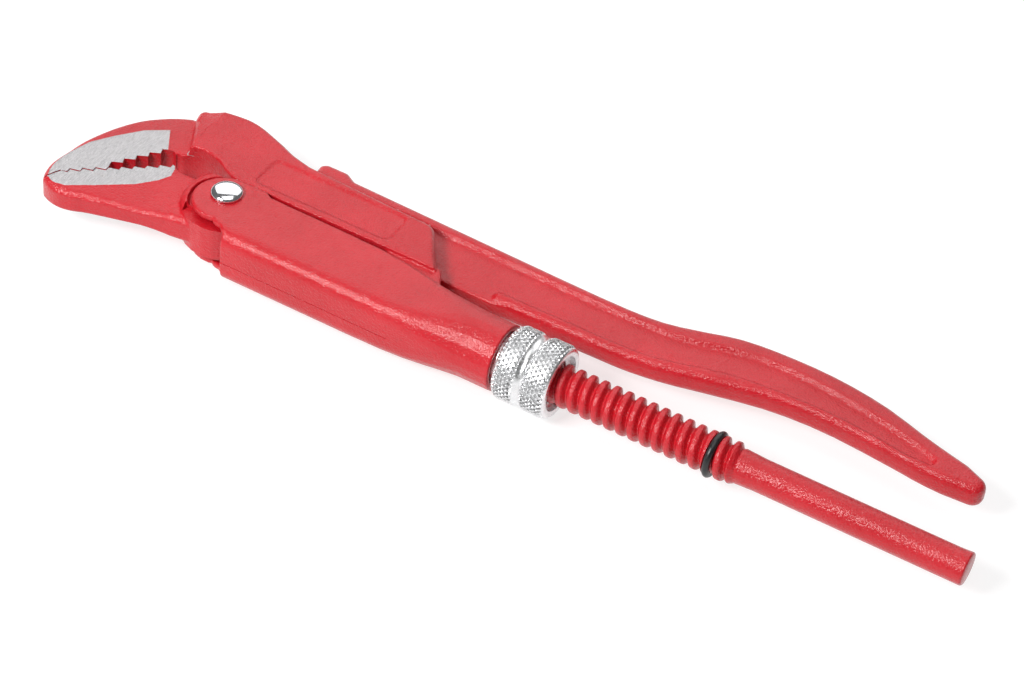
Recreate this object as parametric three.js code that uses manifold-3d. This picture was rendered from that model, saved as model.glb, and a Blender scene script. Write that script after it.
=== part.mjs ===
// Swedish-pattern pipe wrench, 45 degree jaws, nominal 1/2 inch, lying on its side.
// Millimetres. X runs along the threaded leg towards the handles, Y towards the curved
// handle, Z up. The drawing frame has its origin on the leg's axis, at the nut's rear
// face; the last lines move it to the centre of the wrench's footprint.
import * as THREE from 'three';
import { mergeVertices } from 'three/addons/utils/BufferGeometryUtils.js';
import Module from 'manifold-3d';

const wasm = await Module();
wasm.setup();

// Driving dimensions
const LEG_END_X = 107.9;          // sheared end of the round leg
const SIDE_HALF = 7.8;            // half width over the housing walls
const CHEEK_HALF = 7;             // half width over the cheeks of the upper jaw leg
const JAW_HALF = 3.7;             // half width over the ground jaw faces
const WALL = 1.7;                 // housing sheet
const CLEAR = 0.3;                // gap between touching pieces
const PIVOT = [-100.6, 4.6];      // rivet axis
const LEDGE_Y = 11.5;             // sliding ledge under the cheeks
const SLOT_HALF = 2.4;            // fork slot between the cheeks
const WEB_HALF = 2;               // lever tongue and web
const FLANGE_HALF = 3.3;          // lever flanges
const HUB_R = 6.2;                // lever hub on the rivet
const BLOCK_R = 11.6;             // heel block of the lower jaw, about the rivet
const BLOCK_HALF = 7.2;
const RIVET_R = 3;
const RIVET_HEAD_R = 4.2;
const RIVET_HEAD_H = 1.8;
const THREAD_PITCH = 3.3;
const THREAD_MEAN_R = 4.7;
const THREAD_DEPTH = 1.2;
const THREAD_X = [-26.4, 46.2];
const LEG_R = 4.2;
const NUT_LENGTH = 14.8;
const NUT_R = 9.7;
const SPIGOT_R = 6.9;             // nut collar inside the housing
const HOUSING_END_X = -16;
const HOUSING_END_R = 8.8;
const RING_X = 42;                // rubber stop ring
const TOOTH_PITCH = [2.51, 2.1]; // lower jaw teeth
const UPPER_PITCH = [1.91, 2.92]; // upper jaw teeth behind the closed part

// ---------------------------------------------------------------- solids
function solid(geometry) {
  const bare = geometry.index ? geometry.toNonIndexed() : geometry.clone();
  bare.deleteAttribute('normal');
  bare.deleteAttribute('uv');
  const merged = mergeVertices(bare, 1e-4);
  return new wasm.Manifold(new wasm.Mesh({
    numProp: 3,
    vertProperties: Float32Array.from(merged.attributes.position.array),
    triVerts: Uint32Array.from(merged.index.array),
  }));
}

function node(name, body, material) {
  const result = body.getMesh();
  const geometry = new THREE.BufferGeometry();
  geometry.setAttribute('position', new THREE.BufferAttribute(result.vertProperties, 3));
  geometry.setIndex(new THREE.BufferAttribute(result.triVerts, 1));
  const mesh = new THREE.Mesh(geometry, material);
  mesh.name = name;
  return mesh;
}

function outline(points) {
  return new THREE.Shape(points.map(([x, y]) => new THREE.Vector2(x, y)));
}

// Points of a smooth curve through a few given ones, its first point left out.
function curve(points, count) {
  const spline = new THREE.SplineCurve(points.map(([x, y]) => new THREE.Vector2(x, y)));
  return spline.getPoints(count).slice(1).map((p) => [p.x, p.y]);
}

function arc([cx, cy], radius, from, to, count) {
  return Array.from({ length: count + 1 }, (_, i) => {
    const angle = THREE.MathUtils.degToRad(from + ((to - from) * i) / count);
    return [cx + radius * Math.cos(angle), cy + radius * Math.sin(angle)];
  });
}

// Plate of an outline, symmetric about z = 0, with its edges bevelled.
function plate(points, half, bevel = 0, segments = 1) {
  const geometry = new THREE.ExtrudeGeometry(outline(points), {
    depth: 2 * (half - bevel),
    bevelEnabled: bevel > 0,
    bevelThickness: bevel,
    bevelSize: bevel,
    bevelOffset: -bevel,
    bevelSegments: segments,
  });
  geometry.translate(0, 0, bevel - half);
  return solid(geometry);
}

// Prism of an outline between two heights.
function prism(points, low, high) {
  const geometry = new THREE.ExtrudeGeometry(outline(points), {
    depth: high - low,
    bevelEnabled: false,
  });
  geometry.translate(0, 0, low);
  return solid(geometry);
}

// Two equal prisms, one above and one below the middle plane.
function prismPair(points, low, high) {
  return prism(points, low, high).add(prism(points, -high, -low));
}

function disc(centre, radius, low, high, sides = 32) {
  const ring = arc(centre, radius, 0, 360 - 360 / sides, sides - 1);
  return prism(ring, low, high);
}

// Turned body about the leg's axis from [x, radius] pairs, closed on the axis.
function turned(profile, sides = 32) {
  const points = profile.map(([x, r]) => new THREE.Vector2(r, x));
  const geometry = new THREE.LatheGeometry(points, sides);
  geometry.rotateZ(-Math.PI / 2);
  const body = solid(geometry);
  return body.volume() < 0 ? solid(flipped(geometry)) : body;
}

function flipped(geometry) {
  const open = geometry.toNonIndexed();
  const position = open.attributes.position;
  for (let i = 0; i < position.count; i += 3) {
    const a = new THREE.Vector3().fromBufferAttribute(position, i);
    const b = new THREE.Vector3().fromBufferAttribute(position, i + 1);
    position.setXYZ(i, b.x, b.y, b.z);
    position.setXYZ(i + 1, a.x, a.y, a.z);
  }
  return open;
}

// Body through a list of closed rings that all have the same number of points.
function skinned(rings) {
  const count = rings[0].length;
  const positions = rings.flat(2);
  const faces = [];
  for (let i = 0; i + 1 < rings.length; i += 1) {
    for (let j = 0; j < count; j += 1) {
      const a = i * count + j;
      const b = i * count + ((j + 1) % count);
      faces.push(a, b, a + count, b, b + count, a + count);
    }
  }
  for (let j = 1; j + 1 < count; j += 1) {
    const last = (rings.length - 1) * count;
    faces.push(0, j + 1, j, last, last + j, last + j + 1);
  }
  const geometry = new THREE.BufferGeometry();
  geometry.setAttribute('position', new THREE.Float32BufferAttribute(positions, 3));
  geometry.setIndex(faces);
  const body = solid(geometry);
  return body.volume() < 0 ? solid(flipped(geometry)) : body;
}

// Right-hand round thread: the radius swings between root and crest along the helix.
function threadRadius(x, angle, extra) {
  const wave = Math.cos((2 * Math.PI * x) / THREAD_PITCH - angle);
  return THREAD_MEAN_R + extra + (THREAD_DEPTH / 2) * wave;
}

function threadBody([start, end], extra = 0, perPitch = 5, sides = 18) {
  const steps = Math.round(((end - start) / THREAD_PITCH) * perPitch);
  const rings = Array.from({ length: steps + 1 }, (_, i) => {
    const x = start + ((end - start) * i) / steps;
    return Array.from({ length: sides }, (__, j) => {
      const angle = (2 * Math.PI * j) / sides;
      const r = threadRadius(x, angle, extra);
      return [x, r * Math.cos(angle), r * Math.sin(angle)];
    });
  });
  return skinned(rings);
}

// ---------------------------------------------------------------- jaw teeth
const mouthLine = [[-146.6, -17], [-142.5, -8.2]];
const firstTooth = [-141, -6.6];

function lowerTeeth(count, gap = 0) {
  const [nx, ny] = [-0.64 * gap, 0.77 * gap];
  const teeth = [];
  for (let k = 0; k < count; k += 1) {
    const x = firstTooth[0] + TOOTH_PITCH[0] * k + nx;
    const y = firstTooth[1] + TOOTH_PITCH[1] * k + ny;
    teeth.push([x + 0.1, y - 1.3], [x, y]);
  }
  return [...mouthLine.map(([x, y]) => [x - gap, y]), ...teeth];
}

function upperTeeth(count) {
  const teeth = [];
  for (let k = 0; k < count; k += 1) {
    const dx = UPPER_PITCH[0] * k;
    const dy = UPPER_PITCH[1] * k;
    teeth.push([-134.3 + dx, 2.1 + dy], [-131.8 + dx, 3.4 + dy]);
  }
  return teeth;
}

// Everything on the lower side of the lower jaw's tooth line.
function lowerMouthRegion() {
  return [...lowerTeeth(9), [-117.8, 9.4], [-100, 9.4], [-100, -40], [-160, -40]];
}

// Round throat behind the upper teeth, ending at the sliding ledge.
function throat() {
  return curve([[-122.4, 14.2], [-118.6, 16.1], [-115, 16.5], [-110, 15.1], [-106.2, 12.7],
    [-102.5, LEDGE_Y]], 12);
}

// Everything on the lower side of the upper jaw's tooth line, with the throat.
function upperMouthRegion() {
  return [
    ...lowerTeeth(4, 0.4), ...upperTeeth(5), ...throat(),
    [-57, LEDGE_Y], [-57, -40], [-160, -40],
  ];
}

// ---------------------------------------------------------------- upper jaw leg
const JAW_BACK = [[-145.2, -12.4], [-146.3, -10], [-147, -6], [-146.3, 0], [-145.7, 5],
  [-144, 11], [-141.5, 17], [-138, 22.5], [-133, 27.2], [-128.5, 30.2]];
const NECK_TOP = [[-126.6, 30], [-124.8, 32.2], [-116.3, 34], [-110, 33.9], [-101.4, 31],
  [-96, 28.8], [-90, 27.3]];

function jawSlab() {
  const points = [[-144, -14.6], ...curve([[-144, -14.6], ...JAW_BACK], 28), [-122, 31], [-114, 20], [-114, 8], [-126, -6], [-134, -18]];
  return plate(points, JAW_HALF, 1.1);
}

function neckAndCheeks() {
  const rearTop = arc([-54.2, 21.5], 4.2, 88, 27, 4);
  const points = [
    [-119.4, 14.2], [-120.2, 17.5], [-125.7, 27.6],
    ...curve(NECK_TOP, 28),
    ...rearTop, [-40.2, 7.5], [-39.9, LEDGE_Y - 6], [-57, LEDGE_Y - 6], [-119.2, 8],
  ];
  return plate(points, CHEEK_HALF, 1);
}

// The part of the leg that passes down between the housing walls to the rod.
function innerWeb() {
  const half = SIDE_HALF - WALL - CLEAR;
  return prism([[-58, LEDGE_Y + 2], [-57, LEDGE_Y - 1], [-55.6, 8], [-51.5, 3.4], [-51.5, -4.6],
    [-36, -4.6], [-36, 1.5], [-42.5, LEDGE_Y + 2]], -half, half);
}

// Shallow recess in the outer face of each cheek.
function cheekPanels() {
  const points = [
    ...arc([-96.5, 15.5], 2, 180, 270, 3), ...arc([-60.5, 15.5], 2, 270, 360, 3),
    ...arc([-60.5, 22.2], 2, 0, 90, 3), ...arc([-96.5, 22.2], 2, 90, 180, 3),
  ];
  return prismPair(points, CHEEK_HALF - 0.45, 9);
}

// Fork slot that the lever's tongue lies in, open at the top and the rear.
function forkSlot() {
  return prism([[-104.6, 5], [-103.6, LEDGE_Y], [-98.4, 36], [-30, 36], [-30, 12], [-50.4, 12],
    [-51.8, 3.4], [-70, 3.4]], -SLOT_HALF, SLOT_HALF);
}

function rod() {
  const front = turned([[-51.5, 0], [-51.5, LEG_R + 0.4], [-26, LEG_R + 0.4], [-26, 0]], 24);
  const rear = turned([[46, 0], [46, LEG_R], [106.4, LEG_R], [LEG_END_X, LEG_R - 0.7],
    [LEG_END_X, 0]], 24);
  const groove = turned([[RING_X - 1.4, 3.8], [RING_X - 1.4, 7], [RING_X + 1.4, 7],
    [RING_X + 1.4, 3.8], [RING_X - 1.4, 3.8]], 24);
  const bodies = front.add(threadBody(THREAD_X)).add(rear);
  return bodies.subtract(groove);
}

function upperJawLeg() {
  const mouth = prism(upperMouthRegion(), -10, 10);
  const jaw = jawSlab().subtract(mouth);
  const below = prism([[-130, 14.2], ...throat(), [-30, LEDGE_Y], [-30, -40], [-130, -40]], -10, 10);
  const neck = neckAndCheeks().subtract(below);
  return jaw.add(neck).add(innerWeb()).subtract(forkSlot()).subtract(cheekPanels()).add(rod());
}

// ---------------------------------------------------------------- lower jaw lever
function lowerJawSlab() {
  const underside = [[-144.6, -9.4], [-145.6, -11.8], [-143.4, -13.7], [-139.6, -14.7],
    [-135.4, -14], [-132, -12.6], [-124, -10.4], [-114, -7.9], [-104, -6.3]];
  const points = [...curve(underside, 20), [-104, 9.4], [-106, 13.5], [-124, 13.5], [-142, -2]];
  return plate(points, JAW_HALF, 1.1).intersect(prism(lowerMouthRegion(), -10, 10));
}

// Heel block: full width outside the housing lugs, inner width between the walls.
function heelBlock() {
  const ring = arc(PIVOT, BLOCK_R, 0, 345, 23);
  const lugSweep = [0, 5, 10, 15].map((angle) => {
    const turn = THREE.MathUtils.degToRad(-angle);
    const dx = LUG_CENTRE[0] - PIVOT[0];
    const dy = LUG_CENTRE[1] - PIVOT[1];
    const x = PIVOT[0] + dx * Math.cos(turn) - dy * Math.sin(turn);
    const y = PIVOT[1] + dx * Math.sin(turn) + dy * Math.cos(turn);
    return disc([x, y], LUG_R + 0.5, -9, 9, 36);
  });
  const outside = prism([[-125, -6.4], [-125, 10.4], [-103, 10.4], [-103, 4], [-105, -6.4]], -9, 9);
  const wide = lugSweep.reduce((body, lug) => body.subtract(lug),
    plate(ring, BLOCK_HALF, 2.5, 2).intersect(outside));
  const inner = SIDE_HALF - WALL - 2 * CLEAR;
  const kept = prism([[-125, 10.4], [-103, 10.4], [-100.6, HUB_R + PIVOT[1]], [-94.6, 4.6],
    [-92.4, -3], [-92.4, -12], [-125, -12]], -inner, inner);
  return wide.add(plate(ring, inner).intersect(kept)).add(disc(PIVOT, HUB_R, -inner, inner));
}

const HANDLE_TOP = [[-79.8, 33], [-40, 32], [-5, 31.2], [10, 31.9], [20, 34.6], [30, 37.8],
  [42, 39], [56, 38.8], [70, 36.6], [84, 32.2], [95, 29.3]];
const HANDLE_TIP = [98.5, 24.4];
const HANDLE_TIP_R = 3;
const HANDLE_BOTTOM = [[95, 20.9], [86, 21.2], [78, 22.2], [60, 23.7], [45, 22.8], [30, 19.4],
  [20, 16.8], [10, 15.2], [0, 14.8], [-28.2, 14.2]];

function handleOutline() {
  return [
    [-86.5, 24], [-90.6, 29.5], [-91, 33.4], [-89.3, 34.9], [-83, 34.9],
    HANDLE_TOP[0],
    ...curve(HANDLE_TOP, 26),
    ...arc(HANDLE_TIP, HANDLE_TIP_R, 55, -80, 5),
    ...curve(HANDLE_BOTTOM, 22),
    [-31, 19], [-37, 24],
  ];
}

// Tongue from the hub, up between the cheeks, then back as the web of the handle.
function tongue() {
  const points = [
    [-104.8, 8.9], [-102, 11.8], [-98, 15], [-89.9, 31], [-88, 31], [-20, 31],
    [-20, 15], [-28.5, 13.6], [-60, 13.3], [-86, 13],
    ...curve([[-86, 13], [-90.4, 11.8], [-93.2, 8], [-94.6, 3]], 5),
    [-100.6, 1],
  ];
  return prism(points, -WEB_HALF, WEB_HALF);
}

// Recess between the handle's two flanges, cut from both sides with sloping walls.
function webRecess() {
  const top = [[-100, 28.8], [-40, 28.3], [-5, 27.8], [10, 28], [20, 29.3], [30, 32],
    [40, 33.7], [55, 33.1], [70, 30.8], [84, 27.2]];
  const bottom = [[85, 23], [70, 25.3], [57, 26.1], [42, 25.4], [30, 23.5], [20, 20.2],
    [10, 18.2], [-10, 17.7], [-28, 17.5]];
  const points = [top[0], ...curve(top, 26), [87.6, 25.6], [87.4, 23.8], ...curve(bottom, 22),
    [-32, 10], [-100, 10]];
  const geometry = new THREE.ExtrudeGeometry(outline(points), {
    depth: 3,
    bevelEnabled: true,
    bevelThickness: FLANGE_HALF - WEB_HALF,
    bevelSize: 1,
    bevelOffset: -0.4,
    bevelSegments: 1,
  });
  geometry.translate(0, 0, FLANGE_HALF);
  const above = solid(geometry);
  return above.add(above.mirror([0, 0, 1]));
}

function lowerJawLever() {
  const handle = plate(handleOutline(), FLANGE_HALF, 2.1, 3).subtract(webRecess());
  const hole = disc(PIVOT, RIVET_R + CLEAR, -10, 10, 24);
  return lowerJawSlab().add(heelBlock()).add(tongue()).add(handle).subtract(hole);
}

// ---------------------------------------------------------------- guide housing
const LUG_CENTRE = [-100.3, 2.9];
const LUG_R = 8.2;
const SLEEVE_FRONT_X = -93.2;

// Cross-section at one place along the leg: a box with round corners that turns round.
function section(x, half, bottom, top, low, high) {
  const corners = [[high, 0, top, half], [low, 90, bottom, half], [low, 180, bottom, -half],
    [high, 270, top, -half]];
  return corners.flatMap(([r, start, y, z]) => {
    const cy = y > 0 ? y - r : y + r;
    const cz = z > 0 ? z - r : z + r;
    return arc([cy, cz], r, start, start + 90, 5).map(([py, pz]) => [x, py, pz]);
  });
}

function sleeveBody() {
  const square = (x) => section(x, SIDE_HALF, -9.6, 11.6, 3.6, 0.5);
  const stations = [
    square(-110),
    square(-56),
    section(-46, SIDE_HALF, -9.6, 10, 3.9, 2),
    section(-40, 7.9, -9.5, 8.8, 4.6, 4),
    section(-35, 8.1, -9.3, 8.7, 5.8, 5.8),
    section(-30, 8.5, -9, 8.7, 7.4, 7.4),
    section(-25, HOUSING_END_R, -HOUSING_END_R, HOUSING_END_R, 8.7, 8.7),
    section(HOUSING_END_X, HOUSING_END_R, -HOUSING_END_R, HOUSING_END_R, 8.7, 8.7),
  ];
  return skinned(stations);
}

function sideOutline() {
  const walls = prism([
    [SLEEVE_FRONT_X, -12], [-10, -12], [-10, 14], [-34, 14], [-36.5, 7.1], [-42, 7], [-50, 8.5],
    [-58, 9.4], [-90.8, 9.9], [-92.6, 11.1], [-100.3, 11.1], [-98, -5.6], [-95.4, -6.2],
    [SLEEVE_FRONT_X, -8.2],
  ], -12, 12);
  return walls.add(disc(LUG_CENTRE, LUG_R, -12, 12, 40));
}

function guideHousing() {
  const inner = SIDE_HALF - WALL;
  const cavity = skinned([
    section(-115, inner, -9.6 + WALL, 30, 1.4, 1),
    section(-34.6, inner, -9.6 + WALL, 30, 1.4, 1),
  ]);
  const bore = turned([[-60, 0], [-60, 5.8], [-25, 5.8], [-25, SPIGOT_R + CLEAR],
    [-21.6, SPIGOT_R + CLEAR], [-21.6, 8], [-19.9, 8], [-19.9, SPIGOT_R + CLEAR],
    [-10, SPIGOT_R + CLEAR], [-10, 0]]);
  const hole = disc(PIVOT, RIVET_R + CLEAR, -10, 10, 24);
  const opening = prism([[-50, 0], [-50, 20], [-35, 20], [-35, 0]], -inner, inner);
  return sleeveBody().intersect(sideOutline()).subtract(cavity).subtract(opening)
    .subtract(bore).subtract(hole);
}

// ---------------------------------------------------------------- small pieces
function pivotRivet() {
  const base = SIDE_HALF + 0.2;
  const dome = Array.from({ length: 5 }, (_, i) => {
    const angle = (Math.PI / 2) * (i / 4);
    return [base + RIVET_HEAD_H * Math.sin(angle), RIVET_HEAD_R * Math.cos(angle)];
  });
  const half = [[0, RIVET_R], [base, RIVET_R], ...dome];
  const points = [...half.slice().reverse().map(([z, r]) => [-z, r]), ...half.slice(1)];
  const geometry = new THREE.LatheGeometry(
    points.map(([z, r]) => new THREE.Vector2(Math.max(r, 0), z)), 28);
  geometry.rotateX(Math.PI / 2);
  geometry.translate(PIVOT[0], PIVOT[1], 0);
  const body = solid(geometry);
  return body.volume() < 0 ? solid(flipped(geometry)) : body;
}

function adjustingNut() {
  const front = -NUT_LENGTH;
  const outside = turned([
    [-24, 0], [-24, SPIGOT_R], [-21.8, SPIGOT_R], [-21.8, 6.2], [-19.7, 6.2], [-19.7, SPIGOT_R],
    [front, SPIGOT_R], [front, 8.9], [front + 0.9, NUT_R], [-9, NUT_R], [-8.4, 9],
    [-7.2, 9], [-6.6, NUT_R], [-1.2, NUT_R], [0, 8.9], [0, 7.4], [-1.6, 7.2], [-1.6, 0],
  ], 40);
  return outside.subtract(threadBody([-29.7, 3.3], 0.35));
}

function ringOf(x, inner, outer, half, sides) {
  return turned([[x - half, inner], [x - half, outer], [x + half, outer], [x + half, inner],
    [x - half, inner]], sides);
}

function stopRing() {
  const points = arc([RING_X, 5.05], 0.95, 0, 315, 7);
  return turned([...points, points[0]], 32);
}

// ---------------------------------------------------------------- assembly
const paint = (shade) => new THREE.MeshStandardMaterial({
  color: shade, roughness: 0.35, metalness: 0,
});
const redPaint = paint(0xc8202f);
const brightSteel = new THREE.MeshStandardMaterial({ color: 0xd4d4d8, roughness: 0.3, metalness: 1 });
const chrome = new THREE.MeshStandardMaterial({ color: 0xe6e8ec, roughness: 0.08, metalness: 1 });
const springSteel = new THREE.MeshStandardMaterial({ color: 0x8d9095, roughness: 0.4, metalness: 1 });
const rubber = new THREE.MeshStandardMaterial({ color: 0x111214, roughness: 0.45, metalness: 0 });

const wrench = new THREE.Group();
wrench.add(
  node('upper_jaw_leg', upperJawLeg(), redPaint),
  node('lower_jaw_lever', lowerJawLever(), redPaint),
  node('guide_housing', guideHousing(), redPaint),
  node('pivot_rivet', pivotRivet(), chrome),
  node('adjusting_nut', adjustingNut(), brightSteel),
  node('nut_retaining_ring', ringOf(-20.75, 6.5, 7.7, 0.6, 32), springSteel),
  node('stop_ring', stopRing(), rubber),
);

const extent = new THREE.Box3().setFromObject(wrench);
const middle = extent.getCenter(new THREE.Vector3());
wrench.position.set(-middle.x, -middle.y, -extent.min.z);
wrench.updateMatrixWorld(true);

export default wrench;
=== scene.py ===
import math
import bmesh
import bpy
import numpy as np
from mathutils import Matrix, Vector


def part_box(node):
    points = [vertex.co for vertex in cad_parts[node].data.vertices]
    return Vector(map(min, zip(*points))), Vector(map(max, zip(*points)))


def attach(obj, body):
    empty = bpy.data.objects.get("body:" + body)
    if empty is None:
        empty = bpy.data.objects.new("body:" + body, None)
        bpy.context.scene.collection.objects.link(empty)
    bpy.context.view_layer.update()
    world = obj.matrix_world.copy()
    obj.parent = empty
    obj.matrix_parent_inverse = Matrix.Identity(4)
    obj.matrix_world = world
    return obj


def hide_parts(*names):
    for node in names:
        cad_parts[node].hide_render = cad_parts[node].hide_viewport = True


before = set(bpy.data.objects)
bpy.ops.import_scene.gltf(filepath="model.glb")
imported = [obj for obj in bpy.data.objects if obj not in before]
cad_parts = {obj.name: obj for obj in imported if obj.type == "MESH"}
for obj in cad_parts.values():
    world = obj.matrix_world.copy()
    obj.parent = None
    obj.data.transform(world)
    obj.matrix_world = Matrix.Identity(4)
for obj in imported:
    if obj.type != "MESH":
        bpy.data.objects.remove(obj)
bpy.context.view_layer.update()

MM = 0.001
nut_low, nut_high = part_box("adjusting_nut")
ORIGIN = np.array([nut_high[0], (nut_low[1] + nut_high[1]) / 2, (nut_low[2] + nut_high[2]) / 2])

# Camera, fitted to the round leg, the nut and the rivet; angles in degrees
AZIMUTH = 25.78
ELEVATION = 42.42
ROLL = 6.37
DISTANCE = 725.9
OFFSET = (12.0, -10.5)
LENS = 105.5
SENSOR_WIDTH = 36
CLIP_START = 0.01

# Studio: each light's name, place and size in metres, and power in watts
LIGHTS = (("behind", (-0.36, 0.75, 0.72), (1.4, 1.0), 6.4),
          ("overhead", (0.1, -0.1, 1.1), (0.8, 0.8), 3.4),
          ("front", (-0.3, -0.62, 0.64), (0.36, 0.26), 8.6))
WORLD_STRENGTH = 0.14
FLOOR_HALF = 3
FLOOR_GREY = (0.34, 0.34, 0.34, 1)
FLOOR_GLOW = 0.72

# Colours, linear RGBA
WHITE = (1, 1, 1, 1)
RED_DEEP = (0.47, 0.005, 0.012, 1)
RED_BRIGHT = (0.56, 0.010, 0.020, 1)
# Painted shade: the darker red that the paint's grain gets in its low spots
RED_PIT_PAINTED_SHADE = (0.30, 0.003, 0.008, 1)
STEEL_DARK = (0.34, 0.33, 0.34, 1)
STEEL_LIGHT = (0.78, 0.76, 0.77, 1)
STEEL_STAIN = (0.40, 0.31, 0.29, 1)
RUBBER_DARK = (0.006, 0.006, 0.007, 1)
RUBBER_LIGHT = (0.02, 0.02, 0.021, 1)
ZINC = (0.86, 0.86, 0.87, 1)
CHROME = (0.86, 0.87, 0.89, 1)
SPRING_STEEL = (0.42, 0.42, 0.44, 1)

VOXEL = 0.34
FORGING_PASSES = 7
SHEET_PASSES = 5

# Jaws: half thickness at the ground faces, and the low step where the paint starts
JAW_HALF = 3.7
PAINT_STEP = 0.16
PAINT_STEP_WIDTH = 0.35
CORE_HALF = 1.0
GROUND_END_X = -118.5
UPPER_GROUND = [(-145.2, -12.4), (-146.1, -9), (-146.2, -5.6), (-145.4, -1.6), (-143.3, 5.3),
                (-139.8, 10.8), (-134.8, 17.3), (-129.6, 21.2), (-125.4, 14.2), (-120, 0),
                (-135, -20)]
LOWER_GROUND = [(-143.6, -13.4), (-138.3, -12.1), (-132.4, -7.8), (-124.4, -1.6),
                (-120.5, 3.1), (-119.0, 6.3), (-120, 10.3), (-122, 14), (-150, 2)]

# Teeth: lower row, its rise and fall, and the coarser row at the back of the upper jaw
JAW_TIP = ((-146.6, -17.0), (-142.5, -8.2))
FIRST_TOOTH = (-141.0, -6.6)
TOOTH_PITCH = (2.51, 2.1)
TOOTH_ROOT = (0.1, -1.3)
ROW_NORMAL = (-0.64, 0.77)
LOWER_COUNT = 9
MESHED_COUNT = 4
MESH_GAP = 0.4
UPPER_ROOT = (-134.3, 2.1)
UPPER_POINT = (-131.8, 3.4)
UPPER_PITCH = (1.91, 2.92)
UPPER_COUNT = 5

# Heel block: its lower wall is narrower than the space between the housing's lugs
HEEL_WALL = [(-108, -14), (-86, -14), (-86, -2.6), (-108, -2.6)]
HEEL_WALL_HALF = 4.7

# Round leg and its thread
LEG_START_X = -46
LEG_END_X = 107.9
LEG_R = 4.15
THREAD_PITCH = 3.3
THREAD_CREST_R = 5.38
THREAD_DEPTH = 1.5
THREAD_SHARPNESS = 2.4
THREAD_X = (-24.0, 49.0)
THREAD_RUNOUT = (3, 2)
SWELL = 0.4
SWELL_X = (46, 54)
FLARE = 0.12
FLARE_LENGTH = 5
END_ROUND = (0.5, 0.3)

# Rubber ring and the groove that it sits in
STOP_RING_X = 42.0
STOP_RING_R = 5.03
STOP_CORD_R = 0.94
GROOVE_HALF = 1.1
GROOVE_DEPTH = 1.9
GROOVE_TOP_R = 6

# Nut: (x, radius) outlines of the collar, of the groove between the bands and of the rear face
NUT_R = 9.68
KNURL_BANDS = ((-14.1, -9.1), (-6.5, -0.9))
KNURL_COUNT = 42
KNURL_DEPTH = 0.52
KNURL_LEAD = 1.9
KNURL_SLOPE = 1.7
KNURL_PIT = 0.35
BAND_EDGE = 0.5
BAND_EDGE_DROP = 0.35
NUT_COLLAR = [(-23.9, 5.6), (-23.9, 6.8), (-21.8, 6.8), (-21.8, 6.2), (-19.7, 6.2),
              (-19.7, 6.8), (-14.78, 6.8), (-14.78, 8.8), (-14.5, 9.1)]
NUT_GROOVE = [(-8.95, 9.3), (-8.5, 8.95), (-7.8, 8.8), (-7.1, 8.95), (-6.65, 9.3)]
NUT_REAR = [(-0.5, 9.2), (-0.15, 8.9), (-0.05, 8.6), (-0.05, 7.5), (-0.2, 7.3), (-1.7, 7.2),
            (-1.7, 5.9), (-2.0, 5.6)]

# Rivet: centre, head radius, heights of the rim and of the dome's top, (radius, z) of the shank
RIVET = (-100.6, 4.6)
RIVET_HEAD_R = 4.15
RIVET_RIM = 8.25
RIVET_TOP = 9.75
RIVET_SHANK = [(2.95, 0.1), (2.95, 7.9), (4.0, 7.92), (4.15, 8.0)]


def place(points):
    return ORIGIN + np.asarray(points, float) * MM


# ------------------------------------------------------------------ mesh helpers
def new_object(name, mesh):
    obj = bpy.data.objects.new(name, mesh)
    bpy.context.scene.collection.objects.link(obj)
    return obj


def smooth_object(name, vertices, faces):
    mesh = bpy.data.meshes.new(name)
    mesh.from_pydata([tuple(v) for v in vertices], [], [tuple(f) for f in faces])
    mesh.update()
    bm = bmesh.new()
    bm.from_mesh(mesh)
    bmesh.ops.recalc_face_normals(bm, faces=bm.faces)
    bm.to_mesh(mesh)
    bm.free()
    mesh.polygons.foreach_set("use_smooth", [True] * len(mesh.polygons))
    return new_object(name, mesh)


def add_prism(bm, outline, low, high):
    """Adds a closed prism of an outline in millimetres to a bmesh in metres."""
    bottom = [bm.verts.new(place((x, y, low))) for x, y in outline]
    top = [bm.verts.new(place((x, y, high))) for x, y in outline]
    count = len(outline)
    faces = [bm.faces.new(top), bm.faces.new(bottom[::-1])]
    for i in range(count):
        j = (i + 1) % count
        faces.append(bm.faces.new((bottom[i], bottom[j], top[j], top[i])))
    bmesh.ops.triangulate(bm, faces=faces[:2])


def prism(name, outline, low, high):
    bm = bmesh.new()
    add_prism(bm, outline, low, high)
    bmesh.ops.recalc_face_normals(bm, faces=bm.faces)
    mesh = bpy.data.meshes.new(name)
    bm.to_mesh(mesh)
    bm.free()
    return new_object(name, mesh)


def applied(obj):
    """Replaces an object's mesh by the result of its modifiers."""
    graph = bpy.context.evaluated_depsgraph_get()
    mesh = bpy.data.meshes.new_from_object(obj.evaluated_get(graph))
    obj.modifiers.clear()
    obj.data = mesh
    return obj


def cut(obj, outline, low=-12, high=12):
    """Takes a prism of an outline away from an object."""
    tool = prism("cutter", outline, low, high)
    boolean = obj.modifiers.new("cut", "BOOLEAN")
    boolean.operation = "DIFFERENCE"
    boolean.solver = "MANIFOLD"
    boolean.object = tool
    applied(obj)
    bpy.data.objects.remove(tool)


def around(sides):
    """Angles of the points of a ring."""
    return np.linspace(0, 2 * math.pi, sides, endpoint=False)


def leg_ring(x, radius, angle):
    """Ring about the leg's axis."""
    return np.stack([np.full(len(angle), x), radius * np.cos(angle), radius * np.sin(angle)], 1)


def skin(name, rings, caps=True):
    """Joins rings into a closed mesh: with end caps, or else from the last ring to the first."""
    count = len(rings[0])
    vertices = place(np.concatenate(rings))
    j = np.arange(count)
    after = (j + 1) % count
    faces = []
    for i in range(len(rings) - 1 if caps else len(rings)):
        a = i * count
        b = ((i + 1) % len(rings)) * count
        faces.extend(np.stack([a + j, a + after, b + after, b + j], 1).tolist())
    if caps:
        faces.append(list(range(count)))
        faces.append(list(range((len(rings) - 1) * count, len(rings) * count)))
    return smooth_object(name, vertices, faces)


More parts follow.
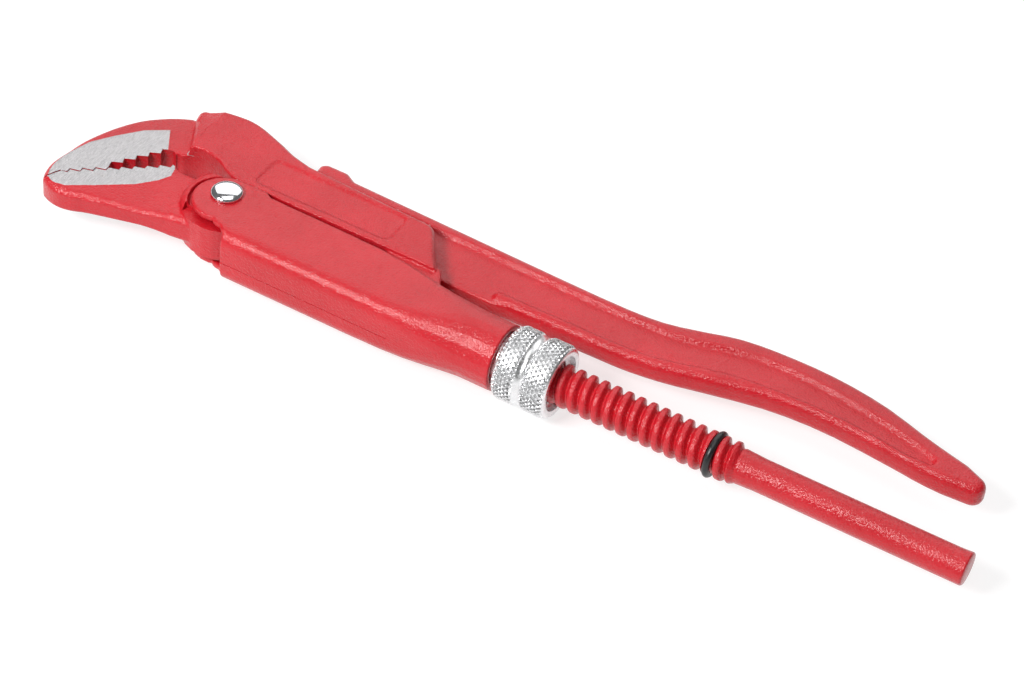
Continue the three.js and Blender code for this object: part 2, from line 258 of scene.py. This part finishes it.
def sharp_edges(obj, degrees):
    obj.data.set_sharp_from_angle(angle=math.radians(degrees))
    return obj


# ------------------------------------------------------------------ forged pieces
def smoothed(name, node, fillers, passes):
    """Copy of a CAD node with its edges rounded like a forging's."""
    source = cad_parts[node]
    bm = bmesh.new()
    bm.from_mesh(source.data)
    bm.transform(source.matrix_world)
    for outline in fillers:
        add_prism(bm, outline, -JAW_HALF, JAW_HALF)
    bmesh.ops.recalc_face_normals(bm, faces=bm.faces)
    mesh = bpy.data.meshes.new(name)
    bm.to_mesh(mesh)
    bm.free()
    obj = new_object(name, mesh)
    remesh = obj.modifiers.new("voxels", "REMESH")
    remesh.mode = "VOXEL"
    remesh.voxel_size = VOXEL * MM * 1
    remesh.use_smooth_shade = True
    smooth = obj.modifiers.new("rounding", "SMOOTH")
    smooth.factor = 0.5
    smooth.iterations = passes
    return applied(obj)


def polygon_distance(points, polygon):
    """Distance in millimetres to a polygon, zero inside it."""
    polygon = np.asarray(polygon, float)
    inside = np.zeros(len(points), bool)
    nearest = np.full(len(points), 1e9)
    for a, b in zip(polygon, np.roll(polygon, -1, axis=0)):
        edge = b - a
        t = np.clip(((points - a) @ edge) / (edge @ edge), 0, 1)
        nearest = np.minimum(nearest, np.linalg.norm(points - a - t[:, None] * edge, axis=1))
        crosses = (a[1] > points[:, 1]) != (b[1] > points[:, 1])
        rise = edge[1] if edge[1] else 1e-9
        x = a[0] + (points[:, 1] - a[1]) * edge[0] / rise
        inside ^= crosses & (points[:, 0] < x)
    return np.where(inside, 0, nearest)


def grind(obj, ground, end, fade, slope):
    """Lowers the painted flanks round a jaw's ground face, which stays flat.

    The drop dies out over a length of fade in front of the plane x = end.
    """
    mesh = obj.data
    count = len(mesh.vertices)
    flat = np.empty(count * 3)
    mesh.vertices.foreach_get("co", flat)
    local = (flat.reshape(-1, 3) - ORIGIN) / MM
    distance = polygon_distance(local[:, :2], ground)
    near = np.clip((end - local[:, 0]) / fade, 0, 1)
    step = PAINT_STEP * (1 - np.exp(-distance / PAINT_STEP_WIDTH))
    drop = (step + slope * distance) * near
    height = np.abs(local[:, 2])
    share = np.clip((height - CORE_HALF) / (JAW_HALF - CORE_HALF), 0, 1)
    local[:, 2] -= np.sign(local[:, 2]) * drop * share
    mesh.vertices.foreach_set("co", (ORIGIN + local * MM).ravel())
    mesh.update()


def lower_teeth(count, gap=0.0):
    """Tooth line of the lower jaw, moved out of it by a gap."""
    points = [(x - gap, y) for x, y in JAW_TIP]
    for k in range(count):
        x = FIRST_TOOTH[0] + TOOTH_PITCH[0] * k + ROW_NORMAL[0] * gap
        y = FIRST_TOOTH[1] + TOOTH_PITCH[1] * k + ROW_NORMAL[1] * gap
        points += [(x + TOOTH_ROOT[0], y + TOOTH_ROOT[1]), (x, y)]
    return points


def upper_teeth():
    """Tooth line of the upper jaw: the meshed front teeth, then the coarser open ones."""
    points = lower_teeth(MESHED_COUNT, MESH_GAP)
    for k in range(UPPER_COUNT):
        points += [(x + UPPER_PITCH[0] * k, y + UPPER_PITCH[1] * k)
                   for x, y in (UPPER_ROOT, UPPER_POINT)]
    return points


def upper_leg():
    teeth = upper_teeth()
    filler = [(-144.9, -12.3)] + teeth[1:] + [
        (-122.6, 14.2), (-121.6, 11.5), (-129, 0), (-137, -7), (-143.4, -12.2)]
    obj = smoothed("upper_jaw_forging", "upper_jaw_leg", [filler], FORGING_PASSES)
    grind(obj, UPPER_GROUND, -120, 4, 0.11)
    mouth = [(-122.4, 14.2), (-120.5, 15.2), (-119, 14), (-119, -40), (-160, -40)]
    cut(obj, teeth + mouth)
    round_leg = [(-38, -30), (120, -30), (120, 60), (-38, 60)]
    cut(obj, round_leg)
    return obj


def lower_lever():
    teeth = lower_teeth(LOWER_COUNT)
    filler = [(-144.7, -12.9)] + teeth[1:] + [
        (-119.5, 9.8), (-121.5, 12.6), (-137, -0.5), (-144.5, -6.5), (-147, -12)]
    obj = smoothed("lower_jaw_forging", "lower_jaw_lever", [filler], FORGING_PASSES)
    grind(obj, LOWER_GROUND, -110, 8, 0.1)
    mouth = [(-152, -17), (-152, 18), (-121.5, 18), (-119.6, 10.0)]
    cut(obj, teeth[::-1] + mouth)
    for low, high in ((HEEL_WALL_HALF, 9), (-9, -HEEL_WALL_HALF)):
        cut(obj, HEEL_WALL, low, high)
    return obj


def housing():
    """Folded sheet, with a narrow seam along the wall that faces away from the lever."""
    obj = smoothed("housing_shell", "guide_housing", [], SHEET_PASSES)
    seam = [(-94, -11), (-44, -11), (-44, -9.45), (-94, -9.45)]
    cut(obj, seam, -1.3, -1.15)
    return obj


# ------------------------------------------------------------------ turned pieces
def ramp(x, start, end):
    return min(max((x - start) / (end - start), 0.0), 1.0)


def leg_radius(x, angle):
    """Threaded, then plain; the crest follows a right-hand helix."""
    start, end = THREAD_X
    threaded = ramp(x, start - THREAD_RUNOUT[0], start) * (1 - ramp(x, end - THREAD_RUNOUT[1], end))
    valley = 0.5 - 0.5 * np.cos(2 * math.pi * x / THREAD_PITCH - angle)
    screw = THREAD_CREST_R - THREAD_DEPTH * valley ** THREAD_SHARPNESS
    plain = LEG_R + SWELL * (1 - ramp(x, *SWELL_X))
    groove = math.exp(-((x - STOP_RING_X) / GROOVE_HALF) ** 4)
    r = screw * threaded + plain * (1 - threaded)
    r = np.minimum(r, GROOVE_TOP_R - GROOVE_DEPTH * groove)
    flare = ramp(x, LEG_END_X - FLARE_LENGTH, LEG_END_X) ** 2 * FLARE * (1 + np.cos(angle - 0.6))
    length, drop = END_ROUND
    return r + flare - drop * ramp(x, LEG_END_X - length, LEG_END_X) ** 2


def threaded_leg():
    plain_start = 50
    end_start = LEG_END_X - 1
    stations = np.concatenate([
        np.arange(LEG_START_X, plain_start, 0.15),
        np.arange(plain_start, end_start, 1.0), np.linspace(end_start, LEG_END_X - 0.02, 8)])
    angle = around(96)
    rings = [leg_ring(x, leg_radius(x, angle), angle) for x in stations]
    return sharp_edges(skin("threaded_leg", rings), 50)


def knurl(x, angle):
    """Height of the knurl, 1 on the crossing ridges and 0 at the bottom of a pit."""
    turn = angle * KNURL_COUNT / (2 * math.pi)
    left = np.abs(np.sin(math.pi * (turn + x / KNURL_LEAD)))
    right = np.abs(np.sin(math.pi * (turn - x / KNURL_LEAD)))
    return 1 - np.clip(np.minimum(left, right) * KNURL_SLOPE - KNURL_PIT, 0, 1)


def nut():
    """Collar, two knurled bands with a groove between them, and the bore."""
    angle = around(736)
    step = 0.11

    def plain(outline):
        return [leg_ring(x, r, angle) for x, r in outline]

    def band(start, end):
        for x in np.arange(start, end, step):
            edge = min(min(x - start, end - x) / BAND_EDGE, 1)
            top = NUT_R - BAND_EDGE_DROP * (1 - edge)
            yield leg_ring(x, top - KNURL_DEPTH * (1 - knurl(x, angle)), angle)

    front, rear = KNURL_BANDS
    rings = [*plain(NUT_COLLAR), *band(*front), *plain(NUT_GROOVE), *band(*rear), *plain(NUT_REAR)]
    return sharp_edges(skin("knurled_nut", rings, caps=False), 40)


def rivet():
    """Shank and two low domed heads with a thin straight rim."""
    steps = 18
    turns = [math.pi / 2 * k / steps for k in range(steps)]
    dome = [(RIVET_HEAD_R * math.cos(t) ** 0.9,
             RIVET_RIM + (RIVET_TOP - RIVET_RIM) * math.sin(t)) for t in turns]
    half = RIVET_SHANK + dome
    profile = [(r, -z) for r, z in half[::-1]] + half
    angle = around(72)
    rings = [np.stack([RIVET[0] + r * np.cos(angle), RIVET[1] + r * np.sin(angle),
                       np.full(len(angle), z)], 1) for r, z in profile]
    return sharp_edges(skin("domed_rivet", rings), 50)


def rubber_ring():
    angle = around(128)
    rings = [leg_ring(STOP_RING_X + STOP_CORD_R * math.cos(t),
                      STOP_RING_R + STOP_CORD_R * math.sin(t), angle) for t in around(28)]
    return skin("rubber_stop_ring", rings, caps=False)


# ------------------------------------------------------------------ materials
class Nodes:
    """Short names for the shader nodes the materials share."""

    def __init__(self, name):
        self.material = bpy.data.materials.new(name)
        self.material.use_nodes = True
        self.tree = self.material.node_tree
        self.shader = self.tree.nodes["Principled BSDF"]
        self.where = self.add("ShaderNodeTexCoord").outputs["Object"]

    def add(self, kind):
        return self.tree.nodes.new(kind)

    def link(self, source, target):
        self.tree.links.new(source, target)

    def set(self, **values):
        for name, value in values.items():
            self.shader.inputs[name.replace("_", " ")].default_value = value

    def stretched(self, scale):
        mapping = self.add("ShaderNodeMapping")
        mapping.inputs["Scale"].default_value = scale
        self.link(self.where, mapping.inputs["Vector"])
        return mapping.outputs["Vector"]

    def noise(self, scale, detail=3.0, vector=None, rough=0.55):
        node = self.add("ShaderNodeTexNoise")
        node.inputs["Scale"].default_value = scale
        node.inputs["Detail"].default_value = detail
        node.inputs["Roughness"].default_value = rough
        self.link(vector or self.where, node.inputs["Vector"])
        return node.outputs["Fac"]

    def spread(self, value, low, high, out_low, out_high):
        node = self.add("ShaderNodeMapRange")
        node.inputs["From Min"].default_value = low
        node.inputs["From Max"].default_value = high
        node.inputs["To Min"].default_value = out_low
        node.inputs["To Max"].default_value = out_high
        self.link(value, node.inputs["Value"])
        return node.outputs["Result"]

    def math(self, operation, a, b):
        node = self.add("ShaderNodeMath")
        node.operation = operation
        for socket, value in zip(node.inputs, (a, b)):
            if isinstance(value, (int, float)):
                socket.default_value = value
            else:
                self.link(value, socket)
        return node.outputs["Value"]

    def mix(self, factor, a, b, kind="RGBA"):
        node = self.add("ShaderNodeMix")
        node.data_type = kind
        # The node keeps a pair of inputs and an output for each kind of value
        first, result = (6, 2) if kind == "RGBA" else (2, 0)
        self.link(factor, node.inputs["Factor"])
        for socket, value in zip((node.inputs[first], node.inputs[first + 1]), (a, b)):
            if hasattr(value, "is_linked"):
                self.link(value, socket)
            else:
                socket.default_value = value
        return node.outputs[result]

    def bump(self, heights):
        """Chains (height, strength, distance in millimetres) into one normal."""
        normal = None
        for height, strength, distance in heights:
            node = self.add("ShaderNodeBump")
            node.inputs["Strength"].default_value = strength
            node.inputs["Distance"].default_value = distance * MM
            self.link(height, node.inputs["Height"])
            if normal:
                self.link(normal, node.inputs["Normal"])
            normal = node.outputs["Normal"]
        return normal


def red_paint(name, rough_scale, ground=False):
    """Glossy red over a rough forged skin; ground adds the bare steel of the jaws."""
    n = Nodes(name)
    blotch = n.noise(55, 4)
    grain = n.noise(1900, 3, rough=0.5)
    colour = n.mix(n.spread(blotch, 0.3, 0.7, 0, 1), RED_DEEP, RED_BRIGHT)
    # Painted shade: the red darkens in the grain's low spots, the pits that the bump also sinks
    pit = n.spread(grain, 0.3, 0.42, 0.35, 0)
    colour = n.mix(pit, colour, RED_PIT_PAINTED_SHADE)
    roughness = n.spread(n.noise(500, 3), 0.3, 0.7, 0.28, 0.42)
    cast = n.noise(420, 4, rough=0.55)
    lumps = n.noise(90, 2)
    normal = n.bump([(lumps, 0.4 * rough_scale, 0.4), (cast, 0.7 * rough_scale, 0.2),
                     (grain, 1.0 * rough_scale, 0.26)])
    metal = None
    if ground:
        colour, roughness, metal = ground_steel(n, colour, roughness)
    n.link(colour, n.shader.inputs["Base Color"])
    n.link(roughness, n.shader.inputs["Roughness"])
    n.link(normal, n.shader.inputs["Normal"])
    n.link(normal, n.shader.inputs["Coat Normal"])
    if metal:
        n.link(metal, n.shader.inputs["Metallic"])
    n.set(Coat_Weight=0.6, Coat_Roughness=0.16, Specular_IOR_Level=0.2)
    return n.material


def ground_steel(n, colour, roughness):
    """Bare steel where a jaw's side lies at the height of the grinding plane."""
    split = n.add("ShaderNodeSeparateXYZ")
    n.link(n.where, split.inputs["Vector"])
    height = n.math("ABSOLUTE", n.math("SUBTRACT", split.outputs["Z"], float(ORIGIN[2])), 0)
    ragged = n.math("MULTIPLY", n.math("SUBTRACT", n.noise(700, 3), 0.5), 0.00006)
    level = n.math("ADD", height, ragged)
    from_below = n.spread(level, (JAW_HALF - 0.09) * MM, (JAW_HALF - 0.05) * MM, 0, 1)
    from_above = n.spread(level, (JAW_HALF + 0.05) * MM, (JAW_HALF + 0.09) * MM, 1, 0)
    end = float(ORIGIN[0]) + GROUND_END_X * MM
    ahead = n.spread(split.outputs["X"], end - 0.2 * MM, end + 0.2 * MM, 1, 0)
    mask = n.math("MULTIPLY", n.math("MULTIPLY", from_below, from_above), ahead)
    streaks = n.noise(60, 6, n.stretched((120, 12, 60)), 0.7)
    steel = n.mix(n.spread(streaks, 0.3, 0.75, 0, 1), STEEL_DARK, STEEL_LIGHT)
    stain = n.spread(n.noise(150, 4), 0.6, 0.75, 0, 0.35)
    steel = n.mix(stain, steel, STEEL_STAIN)
    metal_rough = n.spread(streaks, 0.3, 0.7, 0.38, 0.55)
    return (n.mix(mask, colour, steel), n.mix(mask, roughness, metal_rough, "FLOAT"),
            n.math("MULTIPLY", mask, 0.85))


def plated_steel(name, colour, roughness, wear):
    """Bright metal, clouded down to a share of its colour where it is worn."""
    n = Nodes(name)
    cloud = n.noise(300, 4)
    fine = n.noise(1500, 3)
    tone = n.mix(n.spread(cloud, 0.35, 0.7, 0, 1), colour, [c * wear for c in colour[:3]] + [1])
    n.link(tone, n.shader.inputs["Base Color"])
    n.link(n.spread(fine, 0.3, 0.7, roughness * 0.75, roughness * 1.35),
           n.shader.inputs["Roughness"])
    n.link(n.bump([(fine, 0.15, 0.02)]), n.shader.inputs["Normal"])
    n.set(Metallic=1.0)
    return n.material


def black_rubber():
    n = Nodes("black_rubber")
    fine = n.noise(1200, 3)
    n.link(n.mix(fine, RUBBER_DARK, RUBBER_LIGHT), n.shader.inputs["Base Color"])
    n.link(n.spread(fine, 0.3, 0.7, 0.25, 0.45), n.shader.inputs["Roughness"])
    n.link(n.bump([(fine, 0.3, 0.02)]), n.shader.inputs["Normal"])
    return n.material


def hand_over(obj, body, node, material):
    """Gives a piece its material and the body it rides, and hides the CAD node it stands for."""
    obj.data.materials.clear()
    obj.data.materials.append(material)
    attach(obj, body)
    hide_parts(node)


# ------------------------------------------------------------------ camera and light
def camera():
    az, el, roll = (math.radians(v) for v in (AZIMUTH, ELEVATION, ROLL))
    back = Vector((math.sin(az) * math.cos(el), -math.cos(az) * math.cos(el), math.sin(el)))
    right = Vector((math.cos(az), math.sin(az), 0))
    up = back.cross(right)
    across = right * math.cos(roll) + up * math.sin(roll)
    upward = up * math.cos(roll) - right * math.sin(roll)
    turn = Matrix((across, upward, back)).transposed()
    local = turn @ Vector((-OFFSET[0], -OFFSET[1], DISTANCE))
    data = bpy.data.cameras.new("camera")
    data.lens = LENS
    data.sensor_width = SENSOR_WIDTH
    data.clip_start = CLIP_START
    obj = bpy.data.objects.new("camera", data)
    obj.matrix_world = Matrix.Translation(Vector(place(local))) @ turn.to_4x4()
    bpy.context.scene.collection.objects.link(obj)
    bpy.context.scene.camera = obj


def soft_light(name, position, size, power):
    """Rectangular light aimed at the middle of the wrench."""
    data = bpy.data.lights.new(name, "AREA")
    data.shape = "RECTANGLE"
    data.size, data.size_y = size
    data.energy = power
    obj = bpy.data.objects.new(name, data)
    obj.location = position
    obj.rotation_euler = (-Vector(position)).to_track_quat("-Z", "Y").to_euler()
    bpy.context.scene.collection.objects.link(obj)


def studio():
    world = bpy.data.worlds.new("studio")
    world.use_nodes = True
    background = world.node_tree.nodes["Background"]
    background.inputs["Color"].default_value = WHITE
    background.inputs["Strength"].default_value = WORLD_STRENGTH
    bpy.context.scene.world = world
    for light in LIGHTS:
        soft_light(*light)
    bm = bmesh.new()
    bmesh.ops.create_grid(bm, x_segments=1, y_segments=1, size=FLOOR_HALF)
    mesh = bpy.data.meshes.new("floor")
    bm.to_mesh(mesh)
    bm.free()
    floor = new_object("floor", mesh)
    n = Nodes("floor_white")
    n.set(Base_Color=FLOOR_GREY, Roughness=0.9, Specular_IOR_Level=0.1)
    n.set(Emission_Color=WHITE, Emission_Strength=FLOOR_GLOW)
    mesh.materials.append(n.material)
    bpy.context.scene.view_settings.view_transform = "Standard"


# ------------------------------------------------------------------ the wrench
camera()
studio()

jaw_paint = red_paint("red_paint_ground", 1.0, ground=True)
sheet_paint = red_paint("red_paint_sheet", 0.8)
leg_paint = red_paint("red_paint_leg", 0.9)
zinc = plated_steel("bright_zinc", ZINC, 0.3, 0.85)
chrome = plated_steel("chrome_plate", CHROME, 0.13, 0.94)
spring = plated_steel("spring_steel", SPRING_STEEL, 0.35, 0.8)

hand_over(upper_leg(), "upper_leg", "upper_jaw_leg", jaw_paint)
hand_over(threaded_leg(), "upper_leg", "upper_jaw_leg", leg_paint)
hand_over(lower_lever(), "lever", "lower_jaw_lever", jaw_paint)
hand_over(housing(), "housing", "guide_housing", sheet_paint)
hand_over(nut(), "nut", "adjusting_nut", zinc)
hand_over(rivet(), "housing", "pivot_rivet", chrome)
hand_over(rubber_ring(), "upper_leg", "stop_ring", black_rubber())
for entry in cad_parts["nut_retaining_ring"].material_slots:
    entry.material = spring
